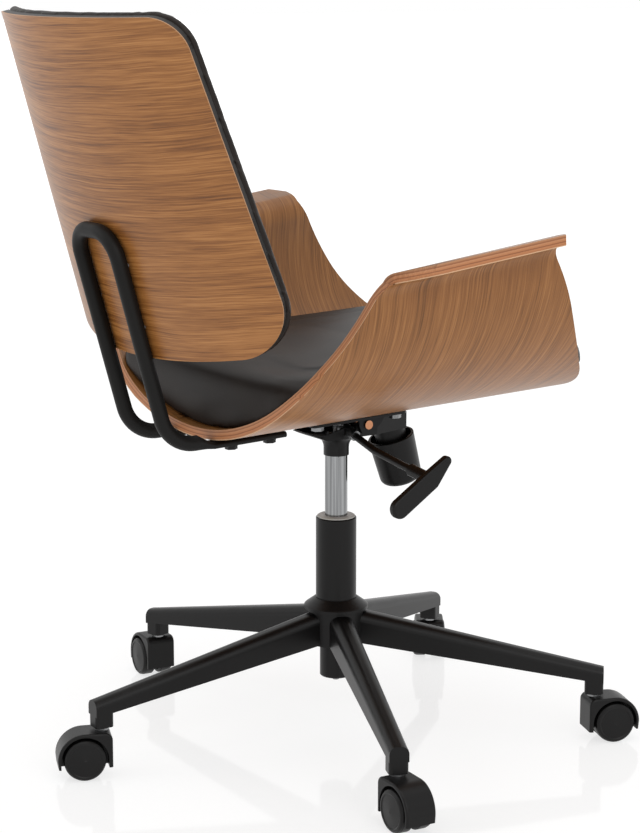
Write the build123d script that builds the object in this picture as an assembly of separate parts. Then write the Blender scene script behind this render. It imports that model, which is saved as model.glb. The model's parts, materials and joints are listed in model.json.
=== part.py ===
from build123d import *
import os
from math import cos, radians, sin, sqrt, tan

# Frame: +Z up, floor at z = 0, origin on the column axis, the chair faces -Y,
# the sitter's right is -X. All sizes in mm, all angles in degrees.

# Star base
LEGS = 5
BASE_YAW = 85.8            # heading of the first leg
STEM_CIRCLE_R = 320.0      # column axis to caster stem
HUB_R = 35.0
HUB_BOTTOM_Z = 117.0
HUB_TOP_Z = 160.5
LEG_ROOT_W = 30.0
LEG_ROOT_BOTTOM_Z = 119.0
LEG_ROOT_TOP_Z = 158.5
LEG_TIP_W = 23.0
LEG_TIP_BOTTOM_Z = 75.0
LEG_TIP_TOP_Z = 93.5
LEG_WALL = 2.5
SOCKET_BOTTOM_Z = 61.0
COLLAR_R = 39.5
COLLAR_TOP_Z = 174.0

# Casters: twin 50 mm wheels under a hood, 11 mm grip stem
WHEEL_R = 25.0
WHEEL_INNER = 4.6          # half gap between the two wheels
WHEEL_OUTER = 21.5         # outer face of a wheel from the middle
CASTER_TRAIL = 22.0        # stem axis to axle
AXLE_R = 3.0
HOOD_R = 32.0
HOOD_WALL = 3.8
HOOD_HALF = 19.0
WEB_HALF = 3.8
STEM_R = 5.5
STEM_LENGTH = 22.0
SLEEVE_R = 6.9
CASTER_TURN = (-18.0, 17.0, 20.0, 24.0, -21.0)    # resting turn of each caster off its leg

# Gas lift: 50 mm outer tube, 28 mm gas cylinder, 10 mm rod
COLUMN_R = 25.0
COLUMN_TOP_Z = 276.0
COLUMN_FOOT_R = 20.0
COLUMN_FOOT_Z = 73.0
GAS_R = 14.0
GAS_BOTTOM_Z = 172.0
GAS_TOP_Z = 384.0
GAS_TOP_R = 13.2
VALVE_R = 4.0
VALVE_STAND = 6.0          # valve pin above the cylinder when shut
ROD_R = 5.0
ROD_TOP_Z = 242.0
BEARING_R = 14.0
BEARING_H = 7.8

# Tilt mechanism
MECH_SOCKET_R = 15.6
MECH_SOCKET_Z = 354.0
MECH_FLOOR_Z = 379.0
MECH_TOP_Z = 400.0
MECH_HALF = 30.0
MECH_REAR_Y = 44.0
MECH_WALL = 2.5
TILT_MAX = 12.0
PIVOT_Y = -23.0
PIVOT_Z = 394.0
PIVOT_R = 4.0
KNOB_Y = -82.0             # centre of the knob rim
KNOB_Z = 367.5
KNOB_LEAN = 17.0           # knob foot points forward
KNOB_R = 29.0
KNOB_H = 61.0
KNOB_WALL = 3.0
BOSS_R = 19.5
SPINDLE_R = 5.0
NUT_R = 9.0
NUT_TOP = 31.0             # nut top below the rim
SPRING_R = 14.0
SPRING_WIRE_R = 1.75
SPRING_TURNS = 2.5

# Lever: lifts to free the gas lift, pulls to free the tilt
ROCKER_X = -22.0
ROCKER_Z = 389.0
LEVER_DROOP = 15.3
LEVER_R = 4.5
LEVER_BEND_X = -80.0
LEVER_BEND_R = 30.0
LEVER_END = (-160.0, -5.5, 359.5)
PADDLE_X = -183.0
PADDLE_T = 10.0

# Seat shell: one bent plywood sheet, seat and both arms
SEAT_Z = 406.5             # outer face over the column axis
SEAT_TILT = 1.5
PLY = 12.0
BOTTOM_R = 360.0
BOTTOM_ANGLE = 23.0
HAUNCH_R = 240.0
HAUNCH_ANGLE = 43.0
ARM_R = 145.0
ARM_ANGLE = 93.6
ARM_RISE = 5.5             # arm tops climb toward the front
BEND_R = 20.0
FLANGE_ANGLE = 11.0
FLANGE_W = 32.0
FLANGE_CORNER_R = 58.0
SHELL_REAR_Y = 205.0
SHELL_FRONT_Y = -290.0
ARM_FOOT_N = 25.0             # arm side profile, points as (y, height over the seat)
ARM_HAUNCH = (192.5, 73.0)
ARM_BACK = (170.0, 112.0)
ARM_REAR_Y = 103.0
ARM_HEAD_N = 199.5
ARM_TIP = (-121.0, 225.0)
ARM_KNEE = (-158.0, 143.0)
ARM_SWEEP = (-217.0, 63.5)
SHELL_FRONT_N = 4.0
TIP_CUT = ((262.0, -138.0), (345.0, -78.0))    # slanted front end of the flange, as (x, y)

# Seat cushion
SEAT_PAD_HALF = 202.0
SEAT_PAD_REAR_Y = 194.0
SEAT_PAD_FRONT_Y = -258.0
SEAT_PAD_TOP_N = 93.0
SEAT_PAD_FOOT_N = 5.0
SEAT_PAD_REAR_BOW = 4.0
SEAT_PAD_FRONT_BOW = 14.0
SEAT_PAD_REAR_CORNER = 40.0
SEAT_PAD_FRONT_CORNER = 95.0
SEAT_PAD_CROWN = ((26.0, 0.0), (13.0, 5.0), (4.0, 20.0), (0.0, 62.0))    # (below the top, inset)
PAD_BOARD = 4.0
PAD_GAP = 0.3

# Back panel
PANEL_Y = 280.3            # foot of the rear face, in the seat frame
PANEL_N = 107.2
BACK_LEAN = 14.1
PANEL_R = 420.0
PANEL_H = 395.0
BACK_PLY = 9.0
PANEL_FOOT_HALF = 241.0
PANEL_HEAD_HALF = 202.0
PANEL_FOOT_BOW = 8.0
PANEL_HEAD_BOW = 11.0
PANEL_FOOT_CORNER = 60.0
PANEL_HEAD_CORNER = 45.0
PANEL_MARGIN = 60.0        # cutters past the panel
BACK_PAD_MID = 34.0
BACK_PAD_RIM = 11.0
BACK_PAD_LAP = 2.0         # cushion past the panel edge
BACK_PAD_ROUND = 6.5

# Back bracket: one bent tube with flattened feet
TUBE_R = 9.0
TUBE_WALL = 2.0
TUBE_HALF = 43.0
TUBE_STAND = 7.1           # tube axis behind the panel rear face at its middle
TUBE_RUN_N = 2.0
TUBE_TOP_H = 152.0
TUBE_HEEL_R = 45.0
TUBE_LOOP_R = 32.0
FLAT_T = 7.0
FLAT_W = 24.0
FLAT_TOP_N = 0.5
FLAT_REAR_Y = 206.0
FLAT_FRONT_Y = 108.0
ROUND_FRONT_Y = 224.0
BRACKET_BOLT_Y = (125.0, 178.0)
BACK_SCREW_H = (38.0, 112.0)
SCREW_R = 3.0
SCREW_HEAD_R = 7.0
SCREW_HEAD_T = 2.1
SCREW_SINK = 0.8           # screw head below the panel front face

# Tilt plate under the shell
PLATE_T = 3.0
PLATE_TOP_N = -0.4
PLATE_HALF = 48.0
PLATE_FRONT_Y = -92.0
PLATE_REAR_Y = 66.0
PLATE_BOLT_X = 39.0
PLATE_BOLT_Y = (-60.0, 54.0)
CHEEK_X = 32.3             # inner face of the tilt plate cheeks
CHEEK_T = 2.5
BOLT_R = 4.0
TEE_FLANGE_R = 9.5
TEE_FLANGE_T = 1.5
TEE_BARREL_R = 5.5
TEE_LENGTH = 9.0
NUT_SINK = 1.4             # tee nut below the shell's inner face

# Fits
RUN = 0.06                 # running fit, radial
SNUG = 0.05                # fixed fit, radial
CLEAR = 0.3                # between faces that pass each other

parts = {}


def turned(points):
    """Solid turned about Z from a closed profile of (radius, z) points."""
    profile = make_face(Polyline(*[(r, 0, z) for r, z in points], close=True))
    return revolve(profile, Axis.Z, 360)


def tube(r_out, r_in, z0, z1):
    """Ring about Z between two heights."""
    return turned([(r_in, z0), (r_out, z0), (r_out, z1), (r_in, z1)])


def rod(r, z0, z1):
    """Round bar about Z between two heights."""
    return Pos(0, 0, z0) * Cylinder(r, z1 - z0, align=(Align.CENTER, Align.CENTER, Align.MIN))


def block(x0, x1, y0, y1, z0, z1):
    """Box between limits."""
    return Pos((x0 + x1) / 2, (y0 + y1) / 2, (z0 + z1) / 2) * Box(x1 - x0, y1 - y0, z1 - z0)


def hexagon(across, z0, z1):
    """Hexagonal prism about Z, given across its flats."""
    return Pos(0, 0, z0) * extrude(RegularPolygon(across / sqrt(3), 6), z1 - z0)


def side_face(points):
    """Face in the YZ plane from (y, z) corners."""
    return make_face(Polyline(*[(0, y, z) for y, z in points], close=True))


SEAT = Pos(0, 0, SEAT_Z) * Rot(X=-SEAT_TILT)
PANEL = SEAT * Pos(0, PANEL_Y, PANEL_N) * Rot(X=-BACK_LEAN)
KNOB = Pos(0, KNOB_Y, KNOB_Z) * Rot(X=-KNOB_LEAN)


# Star base: hub, five tapered channel legs, a caster socket at each tip
def leg_section(x, width, z0, z1):
    """Leg outline at one station: square foot, rounded top."""
    h = width / 2
    r = h * 0.8
    k = r * (1 - sqrt(0.5))
    return make_face(
        [
            Line((x, -h, z0), (x, h, z0)),
            Line((x, h, z0), (x, h, z1 - r)),
            ThreePointArc((x, h, z1 - r), (x, h - k, z1 - k), (x, h - r, z1)),
            Line((x, h - r, z1), (x, r - h, z1)),
            ThreePointArc((x, r - h, z1), (x, k - h, z1 - k), (x, -h, z1 - r)),
            Line((x, -h, z1 - r), (x, -h, z0)),
        ]
    )


leg_tip_x = STEM_CIRCLE_R + LEG_TIP_W / 2
socket_x = STEM_CIRCLE_R - LEG_TIP_W / 2
leg_root_x = HUB_R * 0.8
leg_grade = (LEG_TIP_TOP_Z - LEG_ROOT_TOP_Z) / (leg_tip_x - leg_root_x)
leg_inside_z = LEG_ROOT_TOP_Z + leg_grade * (socket_x - LEG_WALL - leg_root_x) - LEG_WALL
leg = loft(
    [
        leg_section(leg_root_x, LEG_ROOT_W, LEG_ROOT_BOTTOM_Z, LEG_ROOT_TOP_Z),
        leg_section(leg_tip_x, LEG_TIP_W, LEG_TIP_BOTTOM_Z, LEG_TIP_TOP_Z),
    ],
    ruled=True,
)
leg -= loft(
    [
        leg_section(HUB_R + 2, LEG_ROOT_W - 2 * LEG_WALL, LEG_TIP_BOTTOM_Z, LEG_ROOT_TOP_Z - LEG_WALL - 1),
        leg_section(socket_x - LEG_WALL, LEG_TIP_W - 2 * LEG_WALL, LEG_TIP_BOTTOM_Z - 9, leg_inside_z),
    ],
    ruled=True,
)
stub = extrude(Pos(STEM_CIRCLE_R, 0, SOCKET_BOTTOM_Z) * RectangleRounded(LEG_TIP_W, LEG_TIP_W, 5), 27)
leg += stub
sleeve_top = SOCKET_BOTTOM_Z + STEM_LENGTH + 2
leg -= Pos(STEM_CIRCLE_R, 0, 0) * rod(SLEEVE_R + SNUG, SOCKET_BOTTOM_Z - 1, sleeve_top + 1)
star = rod(HUB_R, HUB_BOTTOM_Z, HUB_TOP_Z)
for k in range(LEGS):
    star += Rot(Z=BASE_YAW + k * 360 / LEGS) * leg

taper_top_r = COLUMN_R
taper_foot_r = COLUMN_R - 1.2
star -= turned(
    [
        (0, HUB_BOTTOM_Z - 1),
        (taper_foot_r + SNUG, HUB_BOTTOM_Z - 1),
        (taper_top_r + SNUG, HUB_TOP_Z + 1),
        (0, HUB_TOP_Z + 1),
    ]
)
parts["star_base"] = star

sleeve = tube(SLEEVE_R, STEM_R + RUN, SOCKET_BOTTOM_Z - 0.2, sleeve_top)
sleeve += tube(9.5, STEM_R + RUN, SOCKET_BOTTOM_Z - 1.2, SOCKET_BOTTOM_Z - 0.1)
leg_places = [Rot(Z=BASE_YAW + k * 360 / LEGS) * Pos(STEM_CIRCLE_R, 0, 0) for k in range(LEGS)]
parts["caster_sleeves"] = Compound(children=[place * sleeve for place in leg_places])

parts["hub_collar"] = turned(
    [
        (COLUMN_R + SNUG, HUB_TOP_Z + 0.1),
        (COLLAR_R, HUB_TOP_Z + 0.1),
        (COLLAR_R, HUB_TOP_Z + 3.6),
        (COLLAR_R - 1, HUB_TOP_Z + 4.6),
        (COLUMN_R + 1.2, COLLAR_TOP_Z),
        (COLUMN_R + SNUG, COLLAR_TOP_Z),
    ]
)

# Gas lift column
bore_r = COLUMN_R - 2.0
plate_z = COLUMN_FOOT_Z + 5
parts["column_tube"] = turned(
    [
        (ROD_R + 1, COLUMN_FOOT_Z),
        (COLUMN_FOOT_R - 1, COLUMN_FOOT_Z),
        (COLUMN_FOOT_R, COLUMN_FOOT_Z + 1),
        (COLUMN_FOOT_R, HUB_BOTTOM_Z - 4),
        (taper_foot_r, HUB_BOTTOM_Z - 1),
        (taper_top_r, HUB_TOP_Z + 1),
        (COLUMN_R, COLUMN_TOP_Z - 1),
        (COLUMN_R - 1, COLUMN_TOP_Z),
        (bore_r, COLUMN_TOP_Z),
        (bore_r, HUB_BOTTOM_Z + 4),
        (COLUMN_FOOT_R - 2, HUB_BOTTOM_Z - 2),
        (COLUMN_FOOT_R - 2, plate_z),
        (ROD_R + 1, plate_z),
    ]
)
parts["column_bush"] = turned(
    [
        (GAS_R + RUN, COLUMN_TOP_Z - 80),
        (bore_r - SNUG, COLUMN_TOP_Z - 80),
        (bore_r - SNUG, COLUMN_TOP_Z + 0.1),
        (COLUMN_R - 1.6, COLUMN_TOP_Z + 0.1),
        (COLUMN_R - 1.6, COLUMN_TOP_Z + 1.2),
        (COLUMN_R - 3, COLUMN_TOP_Z + 2),
        (GAS_R + RUN, COLUMN_TOP_Z + 2),
    ]
)
bearing_z = plate_z + 0.1
parts["thrust_bearing"] = turned(
    [
        (ROD_R + RUN, bearing_z),
        (BEARING_R, bearing_z),
        (BEARING_R, bearing_z + 2),
        (BEARING_R - 1.5, bearing_z + 2.3),
        (BEARING_R - 1.5, bearing_z + BEARING_H - 2.3),
        (BEARING_R, bearing_z + BEARING_H - 2),
        (BEARING_R, bearing_z + BEARING_H),
        (ROD_R + RUN, bearing_z + BEARING_H),
    ]
)
shoulder_z = bearing_z + BEARING_H + CLEAR
clip_z = COLUMN_FOOT_Z - 2.2
parts["piston_rod"] = turned(
    [
        (0, clip_z - 4),
        (ROD_R - 1, clip_z - 4),
        (ROD_R, clip_z - 3),
        (ROD_R, clip_z),
        (ROD_R - 1.2, clip_z),
        (ROD_R - 1.2, clip_z + 1.6),
        (ROD_R, clip_z + 1.6),
        (ROD_R, shoulder_z),
        (ROD_R + 3, shoulder_z),
        (ROD_R + 3, shoulder_z + 3),
        (ROD_R, shoulder_z + 3),
        (ROD_R, ROD_TOP_Z - 9),
        (GAS_R - 2 - RUN, ROD_TOP_Z - 9),
        (GAS_R - 2 - RUN, ROD_TOP_Z),
        (0, ROD_TOP_Z),
    ]
)
parts["rod_clip"] = tube(ROD_R + 3.5, ROD_R - 1.2 + SNUG, clip_z + 0.1, clip_z + 1.5)
parts["bump_stop"] = turned(
    [
        (ROD_R + SNUG, shoulder_z + 3.1),
        (BEARING_R - 2, shoulder_z + 3.1),
        (BEARING_R - 3, shoulder_z + 9),
        (ROD_R + SNUG, shoulder_z + 9),
    ]
)
parts["gas_cylinder"] = turned(
    [
        (ROD_R + RUN, GAS_BOTTOM_Z),
        (GAS_R - 1, GAS_BOTTOM_Z),
        (GAS_R, GAS_BOTTOM_Z + 1),
        (GAS_R, MECH_SOCKET_Z - 1),
        (GAS_TOP_R, GAS_TOP_Z),
        (VALVE_R + RUN, GAS_TOP_Z),
        (VALVE_R + RUN, GAS_TOP_Z - 12),
        (GAS_R - 2, GAS_TOP_Z - 16),
        (GAS_R - 2, GAS_BOTTOM_Z + 8),
        (ROD_R + RUN, GAS_BOTTOM_Z + 8),
    ]
)
valve_top_z = GAS_TOP_Z + VALVE_STAND
valve_foot_z = GAS_TOP_Z - 10
parts["valve_pin"] = turned(
    [
        (0, valve_foot_z),
        (VALVE_R, valve_foot_z),
        (VALVE_R, valve_top_z - 1),
        (VALVE_R - 1, valve_top_z),
        (0, valve_top_z),
    ]
)

# Tilt mechanism housing: pressed channel, gas socket with a flared neck, spring boss
nose_y = KNOB_Y - 11
outline = [
    (-MECH_HALF, MECH_REAR_Y),
    (MECH_HALF, MECH_REAR_Y),
    (MECH_HALF, -40),
    (18, nose_y),
    (-18, nose_y),
    (-MECH_HALF, -40),
]
tray = make_face(Polyline(*[(x, y, MECH_FLOOR_Z) for x, y in outline], close=True))
tray_inside = offset(tray, -MECH_WALL, kind=Kind.INTERSECTION)
mech_h = MECH_TOP_Z - MECH_FLOOR_Z
mech = extrude(tray, mech_h) - Pos(0, 0, MECH_WALL) * extrude(tray_inside, mech_h)
neck = make_face(
    [
        Line((0, 0, MECH_SOCKET_Z), (MECH_SOCKET_R, 0, MECH_SOCKET_Z)),
        Line((MECH_SOCKET_R, 0, MECH_SOCKET_Z), (MECH_SOCKET_R, 0, MECH_FLOOR_Z - 15)),
        ThreePointArc(
            (MECH_SOCKET_R, 0, MECH_FLOOR_Z - 15),
            (MECH_SOCKET_R + 4, 0, MECH_FLOOR_Z - 5),
            (MECH_SOCKET_R + 13, 0, MECH_FLOOR_Z + 0.5),
        ),
        Line((MECH_SOCKET_R + 13, 0, MECH_FLOOR_Z + 0.5), (0, 0, MECH_FLOOR_Z + 0.5)),
        Line((0, 0, MECH_FLOOR_Z + 0.5), (0, 0, MECH_SOCKET_Z)),
    ]
)
mech += revolve(neck, Axis.Z, 360)
boss_foot = -3.0
boss_head = 15.0
mech += KNOB * rod(BOSS_R, boss_foot, boss_head)
mech -= KNOB * rod(SPINDLE_R + 1.5, boss_foot - 1, boss_head + 6)
mech -= turned(
    [
        (0, MECH_SOCKET_Z - 1),
        (GAS_R + SNUG, MECH_SOCKET_Z - 1),
        (GAS_TOP_R + SNUG, GAS_TOP_Z),
        (0, GAS_TOP_Z),
    ]
)
slope = tan(radians(TILT_MAX + 1.5))
rear_z = MECH_TOP_Z - slope * (MECH_REAR_Y + 10 - PIVOT_Y)
wedge = side_face([(PIVOT_Y, MECH_TOP_Z), (MECH_REAR_Y + 10, rear_z), (MECH_REAR_Y + 10, MECH_TOP_Z + 5)])
mech -= extrude(wedge, 50, both=True, dir=(1, 0, 0))
belly = side_face([
    (MECH_SOCKET_R, MECH_FLOOR_Z - 16),
    (MECH_SOCKET_R + 4, MECH_FLOOR_Z - 9),
    (MECH_SOCKET_R + 12, MECH_FLOOR_Z - 3),
    (MECH_REAR_Y + 5, MECH_FLOOR_Z + 7),
    (MECH_REAR_Y + 5, MECH_SOCKET_Z - 5),
    (MECH_SOCKET_R, MECH_SOCKET_Z - 5),
])
mech -= extrude(belly, 50, both=True, dir=(1, 0, 0))
pin_hole = Pos(0, PIVOT_Y, PIVOT_Z) * Rot(Y=90) * Cylinder(PIVOT_R + SNUG, 100)
mech -= pin_hole
trunnion_r = 3.0
lug_in = 9.4
mech -= block(-MECH_HALF - 2, ROCKER_X - 0.5, -9, 9, MECH_FLOOR_Z - 5, MECH_TOP_Z)
lug = block(ROCKER_X - 5, ROCKER_X + 5, lug_in, lug_in + 2.6, MECH_FLOOR_Z + 1, ROCKER_Z + 5)
mech += lug
mech += mirror(lug, Plane.XZ)
mech -= Pos(ROCKER_X, 0, ROCKER_Z) * Rot(X=90) * Cylinder(trunnion_r + RUN, 40)
parts["mech_housing"] = mech

pin_x = CHEEK_X + CHEEK_T + CLEAR
pin = Rot(Y=90) * rod(PIVOT_R, -pin_x - 0.2, pin_x + 0.2)
for x in (pin_x, -pin_x - 2):
    pin += Rot(Y=90) * rod(PIVOT_R + 1.5, x, x + 2)
parts["pivot_pin"] = Pos(0, PIVOT_Y, PIVOT_Z) * pin

# Tilt tension: spindle pulled by the tilt plate, spring held between boss and washer, turning knob
spindle_head = 29.6
parts["tension_spindle"] = KNOB * (
    rod(SPINDLE_R, -KNOB_H + 12, spindle_head) + block(-9, 9, -5, 5, spindle_head, spindle_head + 4)
)
washer_top = -NUT_TOP + 2.8
parts["spring_washer"] = KNOB * tube(17, SPINDLE_R + RUN, washer_top - 2.5, washer_top)
knob_profile = make_face(
    [
        Line((SPINDLE_R + RUN, 0, -NUT_TOP), (NUT_R, 0, -NUT_TOP)),
        Line((NUT_R, 0, -NUT_TOP), (NUT_R, 0, 4 - KNOB_H)),
        Line((NUT_R, 0, 4 - KNOB_H), (KNOB_R - 12, 0, 4 - KNOB_H)),
        Line((KNOB_R - 12, 0, 4 - KNOB_H), (KNOB_R - KNOB_WALL - 3, 0, 12 - KNOB_H)),
        Line((KNOB_R - KNOB_WALL - 3, 0, 12 - KNOB_H), (KNOB_R - KNOB_WALL, 0, 0)),
        Line((KNOB_R - KNOB_WALL, 0, 0), (KNOB_R - 1, 0, 0)),
        ThreePointArc((KNOB_R - 1, 0, 0), (KNOB_R - 0.3, 0, -0.3), (KNOB_R, 0, -1)),
        Line((KNOB_R, 0, -1), (KNOB_R - 2.6, 0, 9 - KNOB_H)),
        ThreePointArc(
            (KNOB_R - 2.6, 0, 9 - KNOB_H),
            (KNOB_R - 5.2, 0, 2.6 - KNOB_H),
            (KNOB_R - 11.6, 0, -KNOB_H),
        ),
        Line((KNOB_R - 11.6, 0, -KNOB_H), (0, 0, -KNOB_H)),
        Line((0, 0, -KNOB_H), (0, 0, 4 - KNOB_H)),
        Line((0, 0, 4 - KNOB_H), (SPINDLE_R + RUN, 0, 4 - KNOB_H)),
        Line((SPINDLE_R + RUN, 0, 4 - KNOB_H), (SPINDLE_R + RUN, 0, -NUT_TOP)),
    ]
)
parts["tension_knob"] = KNOB * revolve(knob_profile, Axis.Z, 360)

spring_low = washer_top + SPRING_WIRE_R + 0.05
spring_high = boss_foot - SPRING_WIRE_R - 0.05
quarter = int(SPRING_TURNS * 4)


def coil_point(q):
    """Point on the spring centre line after q quarter turns."""
    a = radians(90 * q)
    return (SPRING_R * cos(a), SPRING_R * sin(a), spring_low + (spring_high - spring_low) * q / quarter)


coil_arcs = [ThreePointArc(coil_point(q), coil_point(q + 0.5), coil_point(q + 1)) for q in range(quarter)]
coil = Wire([arc.edge() for arc in coil_arcs])
wire_end = Plane(origin=coil_point(0), z_dir=coil % 0) * Circle(SPRING_WIRE_R)
parts["tension_spring"] = KNOB * sweep(wire_end, path=coil)

# Lever: rocker on trunnions, cranked rod, paddle
droop = radians(LEVER_DROOP)


def lever_axis(x):
    """Point on the straight inner part of the lever rod."""
    return (x, 0, ROCKER_Z - 1 + (x - ROCKER_X + 3) * tan(droop))


lever_dir = (-cos(droop), 0, -sin(droop))
sleeve_x = ROCKER_X + 5
sleeve_frame = Plane(origin=lever_axis(sleeve_x), z_dir=lever_dir, x_dir=(0, 1, 0)).location
rocker = sleeve_frame * rod(LEVER_R + 2, 0, 25)
rocker += block(ROCKER_X, 1, -5, 5, valve_top_z + CLEAR, valve_top_z + 4.5)
rocker += Pos(ROCKER_X, 0, ROCKER_Z) * Rot(X=90) * Cylinder(trunnion_r, 23.6)
rocker -= sleeve_frame * rod(LEVER_R + RUN, 1.5, 40)
parts["lever_rocker"] = rocker
lever_start = lever_axis(sleeve_x - 2)
lever_bend = lever_axis(LEVER_BEND_X)
lever_path = FilletPolyline(lever_start, lever_bend, LEVER_END, radius=LEVER_BEND_R)
lever_end_face = Plane(origin=lever_start, z_dir=lever_dir) * Circle(LEVER_R)
parts["lever_rod"] = sweep(lever_end_face, path=lever_path)

tail = Vector(*LEVER_END) - Vector(*lever_bend)
reach = (PADDLE_X - LEVER_END[0]) / tail.X
jy = LEVER_END[1] + tail.Y * reach
jz = LEVER_END[2] + tail.Z * reach
low_wing = make_hull((Pos(jy, jz) * Circle(12) + Pos(jy + 44, jz - 28) * Circle(12)).edges())
high_wing = make_hull((Pos(jy, jz) * Circle(12) + Pos(jy - 22, jz + 20) * Circle(6)).edges())
paddle = extrude(low_wing + high_wing, PADDLE_T / 2, both=True)
paddle = Plane.YZ.offset(PADDLE_X).location * paddle
paddle = fillet(paddle.edges().filter_by(lambda e: abs(e.tangent_at(0.5).X) < 0.5), 3)
hub_frame = Plane(origin=LEVER_END, z_dir=(tail.X, tail.Y, tail.Z)).location
paddle += hub_frame * rod(LEVER_R + 3, -12, tail.length * reach)
paddle -= hub_frame * rod(LEVER_R + SNUG, -20, 0.2)
parts["lever_handle"] = paddle


# Seat shell
def arm_r(y):
    """Radius of the arm bend at one station."""
    return ARM_R - y * tan(radians(ARM_RISE)) / (cos(radians(HAUNCH_ANGLE)) - cos(radians(ARM_ANGLE)))


def half_section(lift, y):
    """Half of the shell section at one station, lift above the outer face, as runs of points."""
    bends = [
        (BOTTOM_R, BOTTOM_ANGLE),
        (HAUNCH_R, HAUNCH_ANGLE),
        (arm_r(y), ARM_ANGLE),
        (-BEND_R, FLANGE_ANGLE),
    ]
    x, z, a = 0.0, 0.0, 0.0
    runs = []
    for r, end in bends:
        run = []
        for k in (0, 0.5, 1):
            b = radians(a + (end - a) * k)
            bx = x + r * (sin(b) - sin(radians(a)))
            bz = z + r * (cos(radians(a)) - cos(b))
            run.append((bx - lift * sin(b), bz + lift * cos(b)))
        runs.append(run)
        x, z, a = bx, bz, end
    b = radians(a)
    tip = (x + FLANGE_W * cos(b) - lift * sin(b), z + FLANGE_W * sin(b) + lift * cos(b))
    runs.append([runs[-1][2], tip])
    return runs


def section_edges(lift, y, count):
    """Edges of the section from the left end to the right end over the first count runs."""
    runs = half_section(lift, y)[:count]
    edges = []
    for run in reversed(runs[1:]):
        pts = [(-px, y, pz) for px, pz in reversed(run)]
        edges.append(ThreePointArc(*pts) if len(pts) == 3 else Line(*pts))
    (ex, ez), (mx, mz) = runs[0][2], runs[0][0]
    edges.append(ThreePointArc((-ex, y, ez), (mx, y, mz), (ex, y, ez)))
    for run in runs[1:]:
        pts = [(px, y, pz) for px, pz in run]
        edges.append(ThreePointArc(*pts) if len(pts) == 3 else Line(*pts))
    return edges


def shell_section(y):
    """Closed section of the plywood sheet at one station."""
    low = section_edges(0, y, 5)
    high = section_edges(PLY, y, 5)
    return make_face(low + high + [Line(low[0] @ 0, high[0] @ 0), Line(low[-1] @ 1, high[-1] @ 1)])


def bowl(lift, y0, y1, top):
    """Everything above the seat surface, lift over the outer face, up to a height."""
    low = section_edges(lift, y0, 2)
    a, b = low[0] @ 0, low[-1] @ 1
    rim = [
        Line(a, (a.X, y0, top)),
        Line((a.X, y0, top), (b.X, y0, top)),
        Line((b.X, y0, top), b),
    ]
    return extrude(make_face(low + rim), y1 - y0, dir=(0, 1, 0))


front_y = SHELL_FRONT_Y - 8
rear_y = SHELL_REAR_Y + 8
sheet = loft([shell_section(front_y), shell_section(rear_y)], ruled=True)
over_all = 300.0
under_all = -20.0
knee_way = (ARM_KNEE[0] - ARM_TIP[0], ARM_KNEE[1] - ARM_TIP[1])
side = make_face(
    [
        Line((0, SHELL_REAR_Y, under_all), (0, SHELL_REAR_Y, ARM_FOOT_N)),
        ThreePointArc((0, SHELL_REAR_Y, ARM_FOOT_N), (0, *ARM_HAUNCH), (0, *ARM_BACK)),
        Line((0, *ARM_BACK), (0, ARM_REAR_Y, ARM_HEAD_N)),
        Line((0, ARM_REAR_Y, ARM_HEAD_N), (0, ARM_REAR_Y, over_all)),
        Line((0, ARM_REAR_Y, over_all), (0, ARM_TIP[0], over_all)),
        Line((0, ARM_TIP[0], over_all), (0, *ARM_TIP)),
        Line((0, *ARM_TIP), (0, *ARM_KNEE)),
        TangentArc((0, *ARM_KNEE), (0, *ARM_SWEEP), tangent=(0, *knee_way)),
        Line((0, *ARM_SWEEP), (0, SHELL_FRONT_Y, SHELL_FRONT_N)),
        Line((0, SHELL_FRONT_Y, SHELL_FRONT_N), (0, SHELL_FRONT_Y, under_all)),
        Line((0, SHELL_FRONT_Y, under_all), (0, SHELL_REAR_Y, under_all)),
    ]
)
shell = sheet & extrude(side, 400, both=True, dir=(1, 0, 0))
flange_x = half_section(0, 0)[-1][1][0]
corner_x = flange_x - FLANGE_CORNER_R
corner_y = ARM_REAR_Y - FLANGE_CORNER_R
corner_k = FLANGE_CORNER_R * sqrt(0.5)
rear_trim = make_face(
    [
        ThreePointArc(
            (corner_x, ARM_REAR_Y, ARM_HEAD_N),
            (corner_x + corner_k, corner_y + corner_k, ARM_HEAD_N),
            (flange_x, corner_y, ARM_HEAD_N),
        ),
        Line((flange_x, corner_y, ARM_HEAD_N), (flange_x + 30, corner_y, ARM_HEAD_N)),
        Line((flange_x + 30, corner_y, ARM_HEAD_N), (flange_x + 30, ARM_REAR_Y + 20, ARM_HEAD_N)),
        Line((flange_x + 30, ARM_REAR_Y + 20, ARM_HEAD_N), (corner_x, ARM_REAR_Y + 20, ARM_HEAD_N)),
        Line((corner_x, ARM_REAR_Y + 20, ARM_HEAD_N), (corner_x, ARM_REAR_Y, ARM_HEAD_N)),
    ]
)
tip_spots = [*TIP_CUT, (TIP_CUT[1][0], SHELL_FRONT_Y), (TIP_CUT[0][0], SHELL_FRONT_Y)]
tip_trim = make_face(Polyline(*[(x, y, ARM_HEAD_N) for x, y in tip_spots], close=True))
for trim in (rear_trim, tip_trim):
    cutter = extrude(trim, 110, dir=(0, 0, 1))
    shell -= cutter
    shell -= mirror(cutter, Plane.YZ)

under = bowl(0, front_y, rear_y, 60)
over = bowl(PLY + PAD_GAP, front_y, rear_y, 140)
plate_spots = [(s * PLATE_BOLT_X, y) for s in (-1, 1) for y in PLATE_BOLT_Y]
bracket_spots = [(s * TUBE_HALF, y) for s in (-1, 1) for y in BRACKET_BOLT_Y]


def rise(x):
    """Height of the outer face above its lowest line, x from the middle."""
    return BOTTOM_R - sqrt(BOTTOM_R**2 - x**2)


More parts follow.
